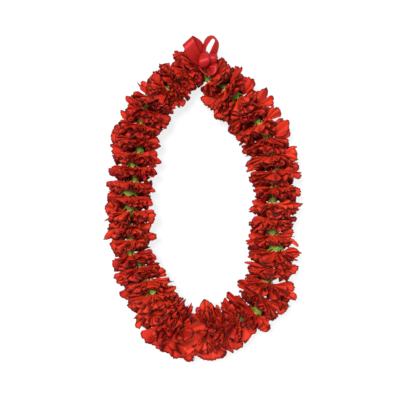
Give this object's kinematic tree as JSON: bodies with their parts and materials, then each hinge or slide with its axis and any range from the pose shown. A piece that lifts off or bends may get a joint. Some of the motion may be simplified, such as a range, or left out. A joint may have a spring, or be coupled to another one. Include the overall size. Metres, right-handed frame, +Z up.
{
  "type": "fresh flower lei",
  "caption": "Closed lei of red carnations strung face to back on one thread, in two strands that hang from a satin ribbon bow, laid flat.",
  "frame": {"origin": "middle of the lei's box, on the surface it lies on", "axes": "+X across the lei, +Y along it towards the bow, +Z up from the surface"},
  "size_m": [0.2942, 0.4886, 0.0669],
  "materials": {
    "petal": "soft matt petal",
    "calyx": "waxy green",
    "thread": "twisted cotton",
    "ribbon": "satin"
  },
  "bodies": {
    "root": {"bloom_R01": "petal", "bloom_R02": "petal", "bloom_R03": "petal", "bloom_R04": "petal", "bloom_R05": "petal", "bloom_R06": "petal", "bloom_R07": "petal", "bloom_R08": "petal", "bloom_R09": "petal", "bloom_R10": "petal", "bloom_R11": "petal", "bloom_R12": "petal", "bloom_R13": "petal", "bloom_R14": "petal", "bloom_R15": "petal", "bloom_R16": "petal", "bloom_R17": "petal", "bloom_R18": "petal", "bloom_R19": "petal", "bloom_R20": "petal", "calyxes_R01_03": "calyx", "calyxes_R04_06": "calyx", "calyxes_R07_09": "calyx", "calyxes_R10_12": "calyx", "calyxes_R13_15": "calyx", "calyxes_R16_18": "calyx", "calyxes_R19_20": "calyx", "bloom_L01": "petal", "bloom_L02": "petal", "bloom_L03": "petal", "bloom_L04": "petal", "bloom_L05": "petal", "bloom_L06": "petal", "bloom_L07": "petal", "bloom_L08": "petal", "bloom_L09": "petal", "bloom_L10": "petal", "bloom_L11": "petal", "bloom_L12": "petal", "bloom_L13": "petal", "bloom_L14": "petal", "bloom_L15": "petal", "bloom_L16": "petal", "bloom_L17": "petal", "bloom_L18": "petal", "bloom_L19": "petal", "bloom_L20": "petal", "bloom_L21": "petal", "calyxes_L01_03": "calyx", "calyxes_L04_06": "calyx", "calyxes_L07_09": "calyx", "calyxes_L10_12": "calyx", "calyxes_L13_15": "calyx", "calyxes_L16_18": "calyx", "calyxes_L19_21": "calyx", "thread": "thread", "ribbon_bow": "ribbon"}
  },
  "joints": []
}
